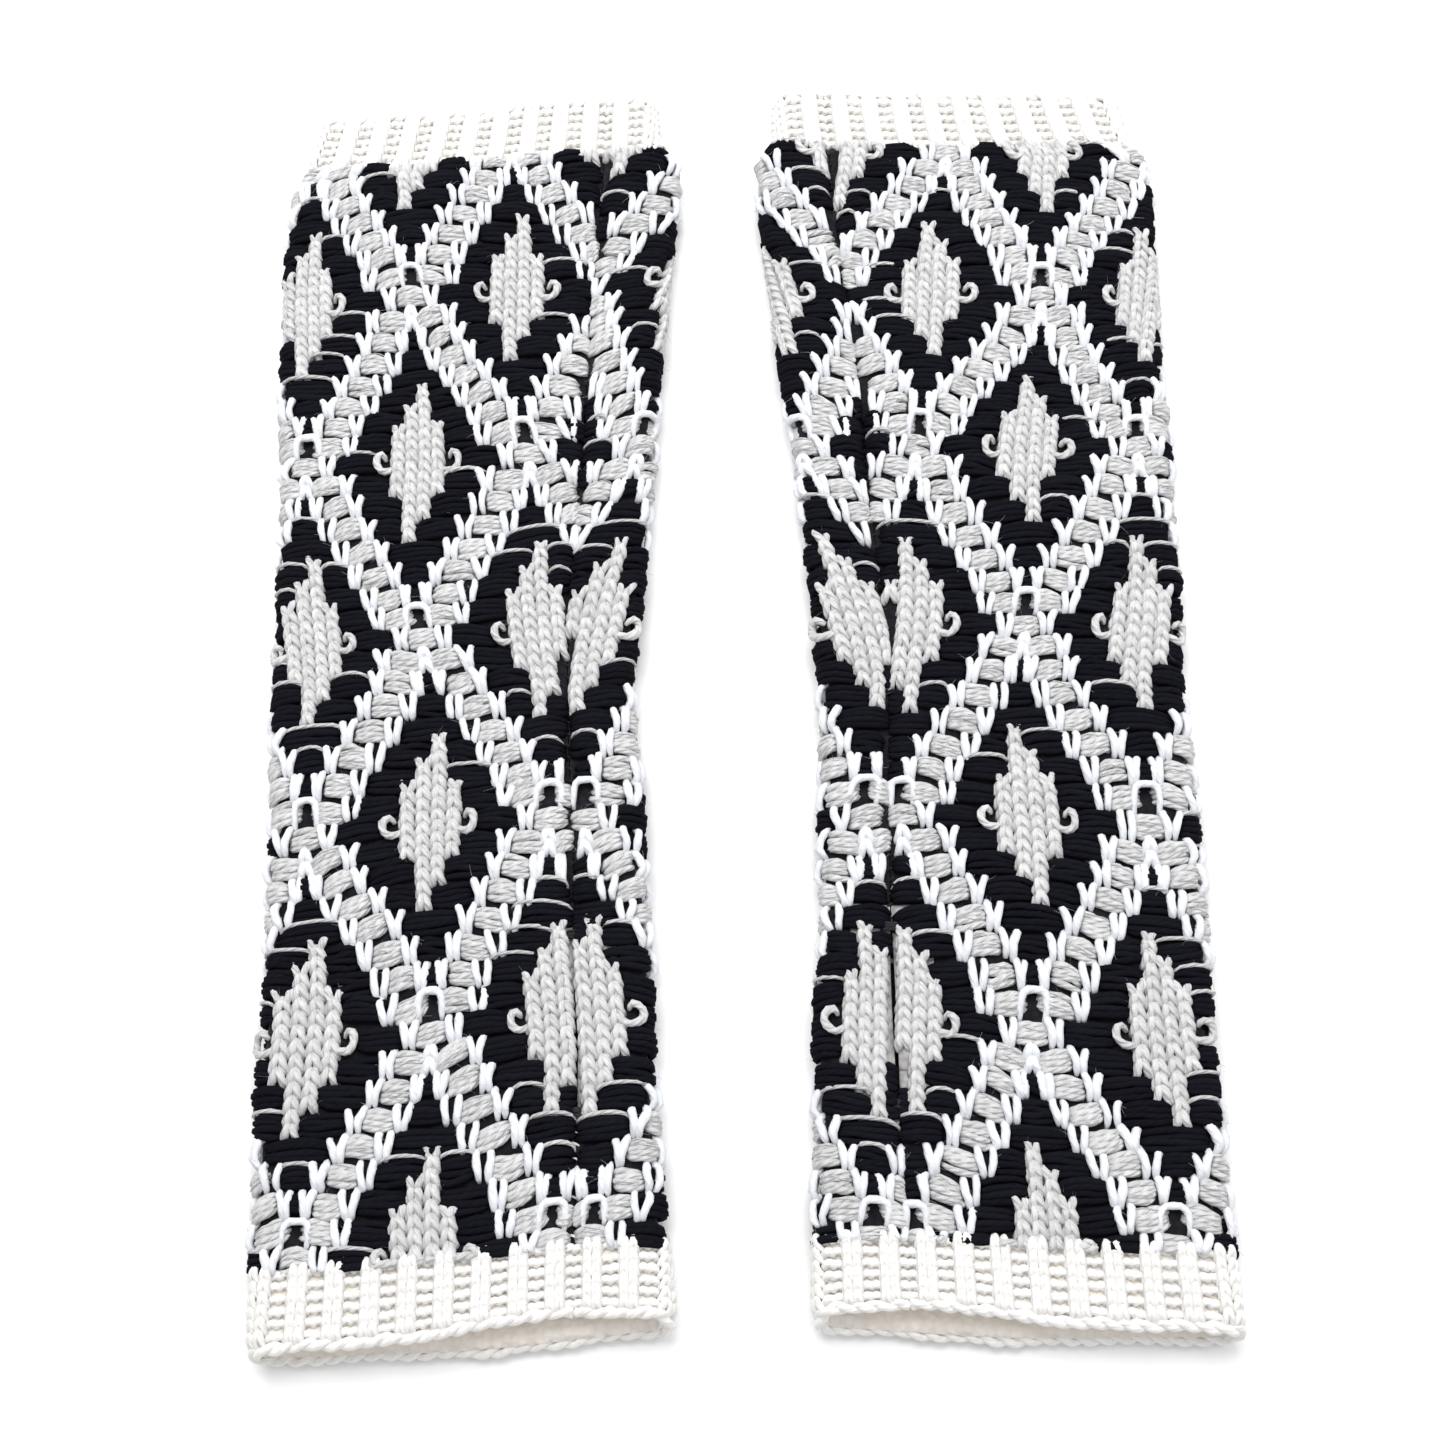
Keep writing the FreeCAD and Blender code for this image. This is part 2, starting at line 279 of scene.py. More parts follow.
class Glove:
    """Turns places on the knitted panel into places in space, from the CAD frame's outline."""

    def __init__(self, name):
        self.name, self.sign = name, SIGNS[name]
        self.rng = np.random.default_rng(11 if name == "left" else 23)
        self.y_start = self.box("hand_edge")[0].y / MM
        self.length = self.box("arm_edge")[1].y / MM - self.y_start
        self.height = self.box("forearm_tube")[1].z / MM
        self.body = self.span("hand_tube")[0], self.span("forearm_tube")[1]
        self.slit = self.span("thumb_lip_outer")
        self.wrist = self.span("wrist_band")
        self.half = self.height / 2 - YARN_DEPTH
        self.grid = np.arange(-10.0, self.length + 10.0)
        inner, outer = self.outline(TUBE_NODES)
        shoulder = SHOULDER * bump(self.grid, self.body[1] - SHOULDER_BACK, SHOULDER_REACH)
        sway = 0.7 * np.sin(self.grid / 17 + 1.3 * self.sign) + 0.5 * np.sin(self.grid / 7.3 + self.sign)
        self.inner = smooth(inner, 2) - shoulder + YARN_DEPTH + sway * 0.5
        self.outer = smooth(outer, 2) + shoulder - YARN_DEPTH + sway * 0.6
        near, far = self.outline(SEAM_NODES)
        self.seam = smooth((near + far) / 2, 12)
        self.phases = self.rng.uniform(0, 2 * pi, 12)

    def box(self, node):
        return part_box(f"{self.name}_{node}")

    def span(self, node):
        """First and last place of a CAD node along the glove."""
        low, high = self.box(node)
        return low.y / MM - self.y_start, high.y / MM - self.y_start

    def outline(self, nodes):
        """Least and greatest distance from the mid-plane along the glove, over some CAD nodes."""
        corners = {}
        for node in nodes:
            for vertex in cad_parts[f"{self.name}_{node}"].data.vertices:
                place = round(vertex.co.y / MM - self.y_start, 1)
                low, high = corners.get(place, (1e9, -1e9))
                across = abs(vertex.co.x) / MM
                corners[place] = (min(low, across), max(high, across))
        widest = max(high - low for low, high in corners.values())
        places = sorted(p for p in corners if corners[p][1] - corners[p][0] > 0.8 * widest)
        low = np.interp(self.grid, places, [corners[p][0] for p in places])
        high = np.interp(self.grid, places, [corners[p][1] for p in places])
        return low, high

    def at(self, values, v):
        return np.interp(v, self.grid, values)

    def lengths(self, v):
        """Lengths round the tube from the seam: outwards, inwards, one fold, half way round."""
        inner, outer, seam = (self.at(values, v) for values in (self.inner, self.outer, self.seam))
        outwards = outer - self.half - seam
        inwards = seam - inner - self.half
        fold = pi * self.half
        return outwards, inwards, fold, outwards + inwards + fold

    def panel_half(self, v):
        """Half the panel's width, in unstretched wales."""
        return np.interp(v, [WIDENS_FROM, WIDENS_TO], [PANEL_HALF_HAND, PANEL_HALF_ARM])

    def from_seam(self, c, v):
        """Signed length round the tube, from the seam, of a place on the panel."""
        half_way = self.lengths(v)[3]
        half_panel = self.panel_half(v)
        spread = 1 - half_panel / half_way
        wanted = np.clip(half_panel - np.abs(c), 0, None)
        d = wanted
        for _ in range(6):
            d = wanted / (1 - spread * (d / half_way) ** 2)
        return np.where(c < 0, -1.0, 1.0) * d

    def surface(self, d, v, off):
        """Points in mm and outward normals, at signed length d from the seam."""
        d, v, off = np.broadcast_arrays(d, v, off)
        outwards, inwards, fold, _ = self.lengths(v)
        inner, outer, seam = (self.at(values, v) for values in (self.inner, self.outer, self.seam))
        side = np.where(d < 0, -1.0, 1.0)
        straight = np.where(d < 0, inwards, outwards)
        turn = np.where(d < 0, inner + self.half, outer - self.half)
        s = np.abs(d)
        angle = np.clip((s - straight) / self.half, 0, pi)
        under = np.clip(s - straight - fold, 0, None)
        across = np.where(s < straight, seam + side * s, turn - side * under)
        across = across + side * self.half * np.sin(angle) * (s > straight)
        normal_x, normal_z = side * np.sin(angle), np.cos(angle)
        z = self.height / 2 + self.half * np.cos(angle)
        top = np.clip(normal_z, 0, 1)
        low = np.clip(-normal_z, 0, 1)
        z = z + top * waves(FACE_WAVES, across, v, self.phases[:3])
        z = z - top * SEAM_DIP * np.exp(-((d / SEAM_DIP_WIDTH) ** 2))
        from_hand, from_arm = np.clip(v, 0, None), np.clip(self.length - v, 0, None)
        z = z + top * np.exp(-from_hand / MOUTH_REACH) * swell(across, *MOUTH_RISE)
        z = z - top * np.exp(-from_arm / MOUTH_REACH) * ARM_MOUTH_SINK
        back = top * swell(across, *UPPER_BACK) - low * swell(across, *LOWER_OUT)
        place = v + back * np.exp(-from_hand / EDGE_REACH) - ROW_TILT * (across - MIDDLE)
        x = self.sign * (across + off * normal_x)
        y = place + self.y_start
        points = np.stack([x, y, z + off * normal_z], -1)
        normals = np.stack([self.sign * normal_x, np.zeros_like(x), normal_z], -1)
        return points, normals

    def drift(self, c, v):
        """Small uneven stretch of the knitting."""
        dc = waves(DRIFT_ACROSS, c, v, self.phases[3:5])
        dv = waves(DRIFT_ALONG, c, v, self.phases[5:7])
        return c + dc, v + dv

    def knit(self, x, y, off):
        """Points and normals of places in the pattern, clamped to the panel's edges."""
        c, v = self.drift(x * WALE, FIRST_DIAMOND + y * ROW)
        v = np.clip(v, self.body[0] - 0.5, self.body[1] + 0.5)
        edge = self.panel_half(v) - self.edge_gap(v) - 0.05
        c = np.clip(c, -edge, edge)
        return self.surface(self.from_seam(c, v), v, off)

    def edge_gap(self, v):
        """Half the gap between the panel's two edges: wider along the slit."""
        middle = (self.slit[0] + self.slit[1]) / 2
        reach = (self.slit[1] - self.slit[0]) / 2
        opening = np.sqrt(np.clip(1 - ((v - middle) / reach) ** 2, 0, 1))
        return SEAM_HALF_GAP + (SLIT_HALF_GAP - SEAM_HALF_GAP) * opening


# ---- the pattern
def diamonds(glove):
    """Centres of all diamonds, in wales and rows, that reach the panel."""
    wales = int(PANEL_HALF_ARM / WALE / REPEAT_WALES) + 2
    rows = int(glove.length / ROW / REPEAT_ROWS) + 2
    for m in range(-wales, wales + 1):
        for n in range(-1, rows + 1):
            yield m * REPEAT_WALES, n * REPEAT_ROWS
            yield m * REPEAT_WALES + HALF_REPEAT, n * REPEAT_ROWS + REPEAT_ROWS / 2


def chart(glove):
    """All stitches of a glove: kind -> list of rows of numbers, in wales and rows.

    black, grey, strand: floats (x start, x end, y, slope, strands);
    stitch, prong, arch, tuft: (x, y); hook: (x, y, side);
    loop: (x, y, width, -1 on the lower side of a grey bar or 1 on its upper side).
    """
    found = {kind: [] for kind in ("black", "grey", "stitch", "prong", "hook", "loop", "arch", "tuft")}
    for cx, cy in diamonds(glove):
        for level in range(1 - BLACK_REACH, BLACK_REACH):
            y, size = cy + 2 * level, abs(level)
            out = BLACK_REACH - size
            if size > GREY_REACH:
                found["black"].append((cx - out, cx + out, y, 0, STRANDS))
                continue
            inside = GREY_REACH - size
            if level == GREY_REACH:
                sides = ((-out, 0), (1, out))
                cells = (0.5,)
            elif level == -GREY_REACH:
                sides = ((-out, -1), (0, out))
                cells = (-0.5,)
            else:
                sides = ((-out, -inside), (inside, out))
                cells = [0.5 - inside + i for i in range(2 * inside)]
                if level == 0:
                    cells = cells[1:-1]
                    found["hook"] += [(cx - inside + 0.5, y, -1), (cx + inside - 0.5, y, 1)]
            found["black"] += [(cx + a, cx + b, y, 0, STRANDS) for a, b in sides]
            found["stitch"] += [(cx + x, y + row) for x in cells for row in (-0.5, 0.5)]
            if level > 0:
                tops = cells if inside == 0 else [x for x in (cells[0], cells[-1]) if x != 0.5]
                found["prong"] += [(cx + x, y + 1) for x in tops]
        for y in (cy - 2 * BLACK_REACH, cy + 2 * BLACK_REACH):
            found["black"].append((cx - TIP_HALF, cx + TIP_HALF, y, 0, TIP_STRANDS))
        for side in (-1, 1):
            for level in range(1, HALF_REPEAT):
                y = cy + 2 * level
                top, foot = level == BLACK_REACH, level == 2
                middle = HALF_REPEAT - level + {1: FOOT_SHIFT, HALF_REPEAT - 1: TOP_SHIFT}.get(level, 0)
                half = SHORT_GREY_HALF if top or foot else GREY_HALF
                x = cx + side * (middle + GREY_IN * (top - foot))
                slope = 0.75 if side > 0 else -0.3
                found["grey"].append((x - half, x + half, y, slope, STRANDS))
                lower = cx + side * (middle - (NEAR_LOOP_OUT if top else LOOP_OUT))
                upper = cx + side * (middle + (NEAR_LOOP_OUT if foot else LOOP_OUT))
                if level < HALF_REPEAT - 1:
                    found["loop"].append((lower, y, NARROW_LOOP if top else 1.0, -1))
                if level > 1:
                    found["loop"].append((upper, y, NARROW_LOOP if foot else 1.0, 1))
        x = cx + HALF_REPEAT
        found["grey"].append((x - 0.95, x + 0.95, cy, 0.1, STRANDS))
        found["loop"] += [(x - LOOP_OUT, cy, 1.0, 1), (x + LOOP_OUT, cy, 1.0, -1)]
        found["arch"].append((x, cy + 2))
        found["tuft"] += [(x, cy - 1.5), (x, cy - 2.5)]
    table = {}
    outwards, along = CREEP[glove.name]
    for kind, rows in found.items():
        rows = np.array(rows, float)
        is_float = kind in ("black", "grey")
        ends = 2 if is_float else 1
        v = FIRST_DIAMOND + rows[:, ends] * ROW
        rows[:, :ends] -= (np.interp(v, CREEP_PLACES, outwards) / WALE)[:, None]
        rows[:, ends] += np.interp(v, CREEP_PLACES, along) / ROW
        v = v + np.interp(v, CREEP_PLACES, along)
        keep = (v > glove.body[0] - END_MARGIN) & (v < glove.body[1] + END_MARGIN)
        edge = glove.panel_half(v) / WALE
        if is_float:
            rows[:, 0], rows[:, 1] = np.maximum(rows[:, 0], -edge), np.minimum(rows[:, 1], edge)
            keep &= rows[:, 1] - rows[:, 0] > SHORTEST_FLOAT
        else:
            keep &= np.abs(rows[:, 0]) < edge - EDGE_MARGIN
        table[kind] = rows[keep]
    bars = table["black"]
    near_side = np.abs(glove.from_seam(bars[:, :2].mean(1) * WALE, FIRST_DIAMOND + bars[:, 2] * ROW))
    loose = (near_side < NEAR_SEAM) | (np.abs(near_side - glove.lengths(100.0)[0]) < NEAR_SIDE)
    drawn = glove.rng.uniform(0, 1, len(bars)) < np.where(loose, LOOSE_SHARE, CALM_SHARE)
    table["strand"] = bars[drawn & (bars[:, 1] - bars[:, 0] > SHORTEST_CROSSED)]
    return table


def float_paths(glove, rows, radius, spacing, lift, samples=8):
    """Strands of the float bars: rows of (x start, x end, y, slope, strands)."""
    rng = glove.rng
    paths, radii = [], []
    t = np.linspace(0, 1, samples)
    for strands in np.unique(rows[:, 4]).astype(int):
        bars = rows[rows[:, 4] == strands]
        n = len(bars)
        bow = rng.normal(0, 0.12, n)
        tilt = rng.normal(0, 0.2, n)
        for k in range(strands):
            place = k - (strands - 1) / 2
            pinch = 1 - 0.32 * np.abs(2 * t - 1) ** 3
            start = bars[:, 0] - 0.12 + rng.normal(0, 0.07, n)
            end = bars[:, 1] + 0.12 + rng.normal(0, 0.07, n)
            x = start[:, None] + (end - start)[:, None] * t
            y = (bars[:, 2] + rng.normal(0, 0.04, n))[:, None] + place * spacing / ROW * pinch
            y = y + (bars[:, 3] + tilt)[:, None] * (t - 0.5) + bow[:, None] * 4 * t * (1 - t)
            y = y + rng.normal(0, 0.05, n)[:, None] * np.sin(t * pi * 2)
            crown = 0.75 * (1 - (2 * place / max(strands, 2)) ** 2) - 0.2
            arch = np.sin(pi * t) ** 0.45
            off = -0.5 + (lift + crown + rng.normal(0, 0.12, n))[:, None] * arch
            paths.append(np.stack([x, y, off], -1))
            taper = 0.72 + 0.28 * np.sin(pi * t) ** 0.4
            radii.append((radius * rng.normal(1, 0.06, n))[:, None] * taper)
    return np.concatenate(paths), np.concatenate(radii)


def stitch_paths(glove, cells, samples=7):
    """Two legs of each plain stitch, meeting at the arm side: rows of (x, y)."""
    rng = glove.rng
    t = np.linspace(0, 1, samples)
    paths, radii = [], []
    for side in (-1, 1):
        n = len(cells)
        x = cells[:, :1] + rng.normal(0, 0.02, (n, 1)) + side * (0.03 + 0.36 * t ** 0.9)
        y = cells[:, 1:2] + 0.66 - 1.32 * t + rng.normal(0, 0.04, (n, 1))
        off = 0.75 + 0.75 * np.sin(pi * t ** 0.8) - 1.15 * t ** 3
        off = off + rng.normal(0, 0.06, (n, 1))
        paths.append(np.stack(np.broadcast_arrays(x, y, off), -1))
        taper = 0.80 + 0.20 * np.sin(pi * t) ** 0.6
        radii.append(rng.normal(1.08, 0.03, (n, 1)) * taper)
    return np.concatenate(paths), np.concatenate(radii)


def curve_through(points, samples):
    """Places along a smooth curve through a few points (k, 3)."""
    points = np.asarray(points, float)
    k = len(points)
    t = np.linspace(0, k - 1, samples)
    i = np.clip(t.astype(int), 0, k - 2)
    f = (t - i)[:, None]
    p0, p1, p2, p3 = (points[np.clip(i + o, 0, k - 1)] for o in (-1, 0, 1, 2))
    return 0.5 * (
        2 * p1 + (p2 - p0) * f + (2 * p0 - 5 * p1 + 4 * p2 - p3) * f**2
        + (3 * p1 - p0 - 3 * p2 + p3) * f**3
    )


# shapes of single loops, in wales, rows and mm of height, about the stitch they belong to
LOWER_LEG = [
    (0.34, 1.40, -1.2), (0.41, 0.80, 1.2), (0.37, 0.1, 1.8), (0.24, -0.65, 1.8), (0.22, -1.20, 0.1),
]
UPPER_LEG = [
    (0.46, 1.50, -1.4), (0.45, 0.95, 1.2), (0.28, 0.30, 1.9), (0.20, -0.40, 2.0), (0.24, -1.05, 0.2),
]
PRONG_LEG = [(0.42, 0.95, -0.4), (0.36, 0.55, 1.3), (0.20, 0.05, 1.6), (0.10, -0.45, 0.6)]
STRAND_SHAPE = [
    (-0.62, 0.75, -0.3), (-0.48, 0.95, 1.5), (-0.15, 1.08, 2.2), (0.25, 1.05, 2.2), (0.50, 0.85, 1.5),
    (0.62, 0.45, -0.2),
]
ARCH_SHAPE = [
    (-0.75, -1.15, -0.2), (-0.80, -0.5, 1.2), (-0.78, 0.3, 1.7), (-0.55, 0.85, 1.9),
    (0.0, 0.95, 2.0), (0.55, 0.85, 1.9), (0.78, 0.3, 1.7), (0.80, -0.5, 1.2), (0.75, -1.15, -0.2),
]
HOOK_SHAPE = [
    (-0.75, -0.35, 0.6), (-0.40, -0.80, 1.6), (0.10, -0.85, 1.9), (0.46, -0.30, 2.1),
    (0.42, 0.45, 2.1), (0.05, 0.75, 1.7), (-0.20, 0.35, 0.4),
]


def leg_paths(glove, shape, x, y, samples, radius, width=1.0):
    """Two mirrored legs of a given shape at each place."""
    pairs = [shape_paths(glove, shape, x, y, samples, radius, width, side) for side in (-1.0, 1.0)]
    return np.concatenate([p[0] for p in pairs]), np.concatenate([p[1] for p in pairs])


def shape_paths(glove, shape, x, y, samples, radius, width=1.0, flip=1.0):
    """One yarn of a given shape at each place."""
    rng = glove.rng
    n = len(x)
    base = curve_through(shape, samples)
    width = np.broadcast_to(width, (n,)) * rng.normal(1, 0.06, n)
    tall = rng.normal(1, 0.05, n)
    px = base[:, 0] * (width * np.broadcast_to(flip, (n,)))[:, None]
    py = base[:, 1] * tall[:, None]
    px = px + rng.normal(0, 0.05, n)[:, None] * py
    px = px + (x + rng.normal(0, 0.05, n))[:, None]
    py = py + (y + rng.normal(0, 0.07, n))[:, None]
    off = np.broadcast_to(base[:, 2], (n, samples)) + rng.normal(0, 0.12, (n, 1))
    taper = 1 - 0.45 * np.abs(np.linspace(-1, 1, samples)) ** 3
    return np.stack([px, py, off], -1), (radius * rng.normal(1, 0.05, n))[:, None] * taper


def add_fuzz(pieces, rng, points, normals, radius, share):
    """Fine loose fibres that stand off the yarns: share is how many for each yarn."""
    n, k, _ = points.shape
    count = int(n * share)
    yarn = rng.integers(0, n, count)
    ring = rng.integers(1, k - 1, count)
    base, up, thick = points[yarn, ring], normals[yarn, ring], radius[yarn, ring]
    aside = unit(np.cross(up, unit(rng.normal(0, 1, (count, 3)))))
    lean = rng.uniform(-1, 1, (count, 1))
    root = base + (up * np.sqrt(1 - (0.8 * lean) ** 2) + aside * 0.8 * lean) * thick[:, None] * 0.8
    length = rng.uniform(0.8, 2.6, (count, 1))
    rise = rng.uniform(0.15, 0.75, (count, 1))
    bend = unit(rng.normal(0, 1, (count, 3)))
    t = np.linspace(0, 1, 5)[None, :, None]
    path = root[:, None] + (length[:, None] * t) * (
        aside[:, None] + up[:, None] * rise[:, None] * (1 - t) + bend[:, None] * 0.8 * t)
    path[..., 2] = np.clip(path[..., 2], LOWEST_FIBRE, HIGHEST_FIBRE)
    normal = np.broadcast_to(up[:, None], path.shape)
    thin = 0.036 * (1 - 0.6 * np.linspace(0, 1, 5))[None] * np.ones((count, 1))
    add_tubes(pieces, path, normal, thin, rng.uniform(0, 1, count), sides=3, ply_depth=0)


def add_shine(pieces, rng, points, normals, radius):
    """Thin bright filaments lying over some strands of the light floats."""
    pick = np.flatnonzero(rng.uniform(0, 1, len(points)) < 0.3)
    n, k = len(pick), points.shape[1]
    t = np.linspace(0, 1, k)
    across = unit(np.cross(np.gradient(points[pick], axis=1), normals[pick]))
    wander = rng.uniform(-1, 1, (n, 1)) + rng.uniform(-1.2, 1.2, (n, 1)) * np.sin(t * pi * 2)
    path = points[pick] + normals[pick] * (radius[pick] * 1.02)[..., None] * 0.97
    path = path + across * (wander * 0.5)[..., None]
    thin = np.full((n, k), 0.13)
    add_tubes(pieces, path, normals[pick], thin, rng.uniform(0, 1, n), sides=4, ply_depth=0)


def zone_of(glove, path):
    """Which piece each yarn belongs to: 0 the main tube, else a part of a thumb lip."""
    middle = path[:, path.shape[1] // 2]
    c, v = middle[:, 0] * WALE, FIRST_DIAMOND + middle[:, 1] * ROW
    d = glove.from_seam(c, v)
    zone = np.zeros(len(path), int)
    for number, (first, last, side) in enumerate(lip_zones(glove), 1):
        inside = (v >= first) & (v < last) & (np.abs(d) < LIP_REACH) & (np.sign(d) == side)
        zone[inside] = number
    return zone


def lip_zones(glove):
    """(first, last, side) of the six parts of the two thumb lips."""
    low = glove.slit[0] - LIP_FADE / 2
    high = glove.slit[1] + LIP_FADE / 2
    cuts = (low, low + LIP_FADE, high - LIP_FADE, high)
    return [(a, b, side) for side in (1, -1) for a, b in zip(cuts, cuts[1:])]


# ---- materials
class Shading:
    """A new material and short ways to fill its node tree."""

    def __init__(self, name, inputs):
        self.material = bpy.data.materials.new(name)
        self.material.use_nodes = True
        self.tree = self.material.node_tree
        self.shader = self.fill(self.tree.nodes["Principled BSDF"], inputs)

    def fill(self, node, inputs):
        """Sets each input of a node, by a link from a socket or by a value."""
        for key, value in inputs.items():
            if isinstance(value, bpy.types.NodeSocket):
                self.tree.links.new(value, node.inputs[key])
            else:
                node.inputs[key].default_value = value
        return node

    def node(self, kind, inputs=None, **values):
        made = self.tree.nodes.new("ShaderNode" + kind)
        for key, value in values.items():
            setattr(made, key, value)
        return self.fill(made, inputs or {})

    def math(self, operation, a, b=0.0):
        return self.node("Math", {0: a, 1: b}, operation=operation).outputs[0]

    def times(self, a, b):
        return self.math("MULTIPLY", a, b)

    def plus(self, a, b):
        return self.math("ADD", a, b)

    def noise(self, x, y, z, detail, roughness):
        place = self.node("CombineXYZ", {"X": x, "Y": y, "Z": z}).outputs[0]
        inputs = {"Vector": place, "Scale": 1.0, "Detail": detail, "Roughness": roughness}
        return self.node("TexNoise", inputs).outputs["Fac"]

    def finish(self, height, strength, distance, shade, first, second):
        """Bumps from a height, and a colour that goes from the first to the second with the shade."""
        bumps = self.node("Bump", {"Height": height, "Strength": strength, "Distance": distance})
        colours = {"Factor": shade, "A": (*first, 1), "B": (*second, 1)}
        mix = self.node("Mix", colours, data_type="RGBA")
        self.fill(self.shader, {"Normal": bumps.outputs["Normal"], "Base Color": mix.outputs["Result"]})
        return self.material


def yarn_material(name, colour, dark, roughness, sheen, fibre=0.8, ply=0.32, pitch=5.0):
    """Plied yarn: twisted fibres, a fuzzy sheen, uneven shade from strand to strand, and painted shade in
    the hollows between fibres and plies.
    """
    tree = Shading(name, {
        "Roughness": roughness, "Sheen Weight": sheen, "Sheen Roughness": 0.45,
        "Sheen Tint": (*colour, 1), "Specular IOR Level": 0.2 if colour[0] > 0.1 else 0.04,
    })
    uv = tree.node("UVMap", uv_map="yarn").outputs["UV"]
    around, along = tree.node("SeparateXYZ", {0: uv}).outputs[:2]
    tone = tree.node("Attribute", attribute_name="tone").outputs["Fac"]
    twisted = tree.math("SUBTRACT", around, tree.math("DIVIDE", along, pitch * PLIES))
    fibres = tree.noise(tree.times(twisted, 22.0), tree.times(along, 0.35), tree.times(tone, 91.0), 3.0, 0.5)
    fluff = tree.noise(tree.times(around, 13.0), tree.times(along, 2.1), tree.times(tone, 57.0), 4.0, 0.7)
    plies = tree.math("SINE", tree.times(twisted, 8 * pi))
    height = tree.plus(tree.plus(tree.times(plies, ply), fibres), tree.times(fluff, 0.6))
    # colour follows the same fibre and ply fields as the bumps, so sunk fibres and ply grooves are painted
    # darker and crowns lighter: painted shade and light; the strand tone part is random
    shade = tree.plus(tree.times(fibres, 0.7), tree.times(tone, 0.35))
    shade = tree.plus(shade, tree.times(plies, 0.10))
    return tree.finish(height, fibre, 0.00045, shade, dark, colour)


def ground_material(name, colour, dark):
    """The back of the knitting, seen in the gaps: small uneven loops, each painted darker towards its rim as
    painted shade between the loops.
    """
    tree = Shading(name, {"Roughness": 0.95, "Sheen Weight": 0.1, "Specular IOR Level": 0.15})
    place = tree.node("TexCoord").outputs["Object"]
    cells = tree.node("TexVoronoi", {"Vector": place, "Scale": 550.0}).outputs["Distance"]
    # colour goes from the first to the second away from each cell's middle: painted shade between the loops
    return tree.finish(cells, 0.6, 0.0006, cells, colour, dark)


BLACK, GREY, WHITE, CREAM, GROUND, LIP_GROUND, SHADED_CREAM_GROUND, THREAD, SHINE = range(9)
FUZZ_SHARE = {BLACK: 1.4, GREY: 1.0, WHITE: 2.0}  # loose fibres for each strand
LOWEST_FIBRE, HIGHEST_FIBRE = 0.15, 15.0  # fibres stay between these heights


def make_materials():
    return [
        yarn_material("black_yarn", (0.011, 0.011, 0.016), (0.004, 0.004, 0.007), 0.95, 0.05, 0.5, 0.12),
        yarn_material("grey_yarn", (0.83, 0.825, 0.83), (0.54, 0.54, 0.545), 0.7, 0.3, 0.9, 0.45),
        yarn_material("white_yarn", (0.895, 0.91, 0.935), (0.73, 0.75, 0.80), 0.75, 0.3, 0.6, 0.2),
        yarn_material("cream_yarn", (0.93, 0.92, 0.905), (0.83, 0.81, 0.78), 0.8, 0.3, 0.6, 0.25),
        ground_material("knit_back", (0.015, 0.015, 0.02), (0.004, 0.004, 0.006)),
        ground_material("lip_back", (0.55, 0.54, 0.53), (0.30, 0.29, 0.29)),
        # beige and tan back of the cream rib: painted shade in the rib's deep gaps and inside the mouths
        ground_material("rib_back_painted_shade", (0.95, 0.91, 0.86), (0.86, 0.79, 0.71)),
        yarn_material("sewing_thread", (0.05, 0.05, 0.055), (0.02, 0.02, 0.025), 0.7, 0.1, pitch=2.0),
        yarn_material("shiny_thread", (1.0, 1.0, 1.0), (0.85, 0.85, 0.86), 0.22, 0.0, pitch=2.0),
    ]


# ---- pieces of one glove
def ground_slab(pieces, glove, first, last, gap, high=0.0, step=2.6):
    """The back of the knitting all round the tube, open only along the seam."""
    v = np.linspace(first, last, max(3, int((last - first) / step) + 1))[:, None]
    half_way = glove.lengths(v)[3]
    start, stop = gap(v), 2 * half_way - gap(v)
    columns = max(4, int((stop - start).max() / step) + 1)
    s = start + (stop - start) * np.linspace(0, 1, columns)[None]
    d = np.where(s > half_way, s - 2 * half_way, s)
    outer, inner = (glove.surface(d, v, off)[0] for off in (high, high - BACK_THICKNESS))
    add_slab(pieces, outer, inner)


def lip_slab(pieces, glove, first, last, side, slot, step=2.0):
    """The back of the knitting under one part of a thumb lip."""
    v = np.linspace(first, last, max(3, int((last - first) / step) + 1))[:, None]
    near = glove.edge_gap(v)
    d = side * (near + (LIP_REACH - near) * np.linspace(0, 1, 6)[None])
    outer, inner = (glove.surface(d, v, off)[0] for off in (0.0, -BACK_THICKNESS))
    if side < 0:
        outer, inner = outer[:, ::-1], inner[:, ::-1]
    add_slab(pieces, outer, inner, slot=slot)


